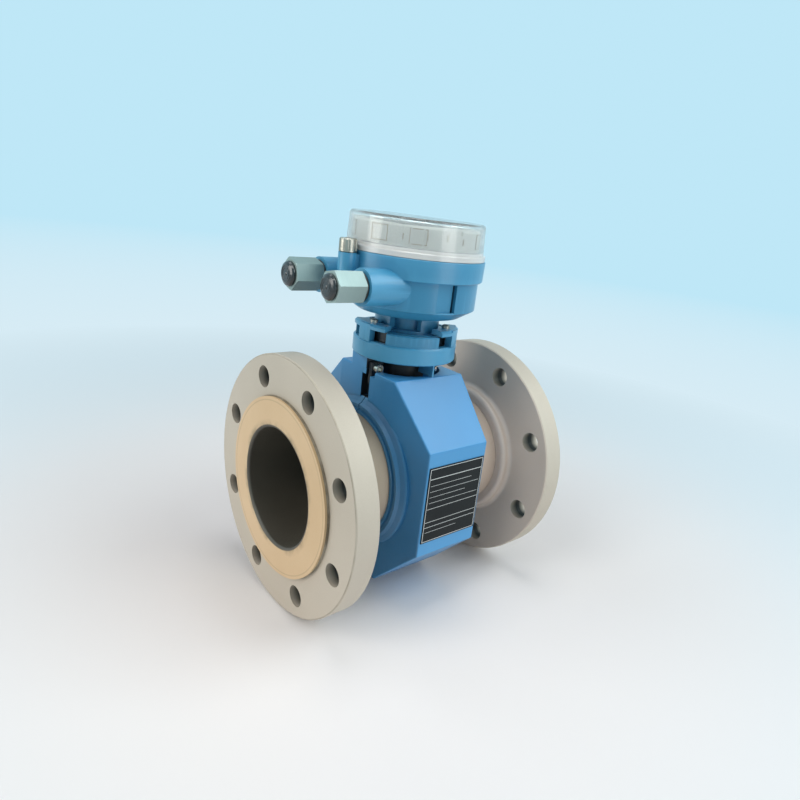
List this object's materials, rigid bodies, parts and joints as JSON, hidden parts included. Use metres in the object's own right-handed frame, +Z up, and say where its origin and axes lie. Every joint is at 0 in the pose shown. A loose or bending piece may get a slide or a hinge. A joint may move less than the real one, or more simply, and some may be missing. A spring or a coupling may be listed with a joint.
{
  "type": "electromagnetic flow meter",
  "caption": "Electromagnetic flow meter with flanged measuring pipe, split sensor housing and a turnable round transmitter under a clear screw cover.",
  "frame": {"origin": "on the pipe axis, halfway between the two sealing faces", "axes": "+X along the pipe from inlet to outlet, +Z up through the transmitter, -Y the side with the plate"},
  "size_m": [0.25, 0.2286, 0.3473],
  "materials": {
    "flange_steel": "light protective coating, matt",
    "tube_steel": "brushed",
    "liner_rubber": "smooth hard rubber",
    "electrode_steel": "polished",
    "insulator": "matt",
    "coil_copper": "varnished copper wire",
    "magnet_iron": "bare, rolled",
    "blue_paint": "powder coat, satin",
    "seal_rubber": "matt",
    "screw_steel": "bright",
    "plate_face": "printed black, satin",
    "nickel_brass": "nickel plated, satin",
    "black_plastic": "gloss",
    "white_plastic": "satin",
    "display_glass": "gloss",
    "board_green": "lacquered",
    "clear_cover": "clear moulded polycarbonate"
  },
  "bodies": {
    "sensor": {"inlet_flange": "flange_steel", "outlet_flange": "flange_steel", "measuring_tube": "tube_steel", "liner": "liner_rubber", "measuring_electrode_front": "electrode_steel", "measuring_electrode_rear": "electrode_steel", "reference_electrode": "electrode_steel", "level_electrode": "electrode_steel", "electrode_bushes": "insulator", "electrode_nuts": "electrode_steel", "upper_pole": "magnet_iron", "lower_pole": "magnet_iron", "upper_coil": "coil_copper", "lower_coil": "coil_copper", "return_yoke": "magnet_iron", "front_shell": "blue_paint", "rear_shell": "blue_paint", "shell_gasket": "seal_rubber", "inlet_tube_seal": "seal_rubber", "outlet_tube_seal": "seal_rubber", "shell_screws": "screw_steel", "nameplate": "plate_face", "neck_base": "blue_paint", "neck_sleeve": "seal_rubber", "neck_seal": "seal_rubber", "securing_screws": "screw_steel"},
    "transmitter": {"transmitter_housing": "blue_paint", "cover_clamp_screw": "screw_steel", "cable_adapter_front": "nickel_brass", "cable_adapter_rear": "nickel_brass", "adapter_seal_front": "seal_rubber", "adapter_seal_rear": "seal_rubber", "blanking_plug_front": "black_plastic", "blanking_plug_rear": "black_plastic", "electronics_carrier": "white_plastic", "display_module": "display_glass", "circuit_board": "board_green", "terminal_block": "black_plastic"},
    "cover_seal_ring": {"cover_seal": "seal_rubber"},
    "cover_body": {"cover": "clear_cover"}
  },
  "joints": [
    {"name": "transmitter_turn", "type": "hinge", "parent": "sensor", "child": "transmitter", "pos_m": [0, 0, 0.13], "axis": [0, 0, 1], "range_deg": [-180, 180]},
    {"name": "cover_rise", "type": "slide", "parent": "transmitter", "child": "cover_seal_ring", "axis": [0, 0, 1], "range_m": [0, 0.006]},
    {"name": "cover_turn", "type": "hinge", "parent": "cover_seal_ring", "child": "cover_body", "pos_m": [0, 0, 0.21], "axis": [0, 0, 1], "range_deg": [0, 1080]}
  ],
  "couplings": [
    {"joint": "cover_rise", "follows": "cover_turn", "m_per_rad": 0.00031831}
  ]
}
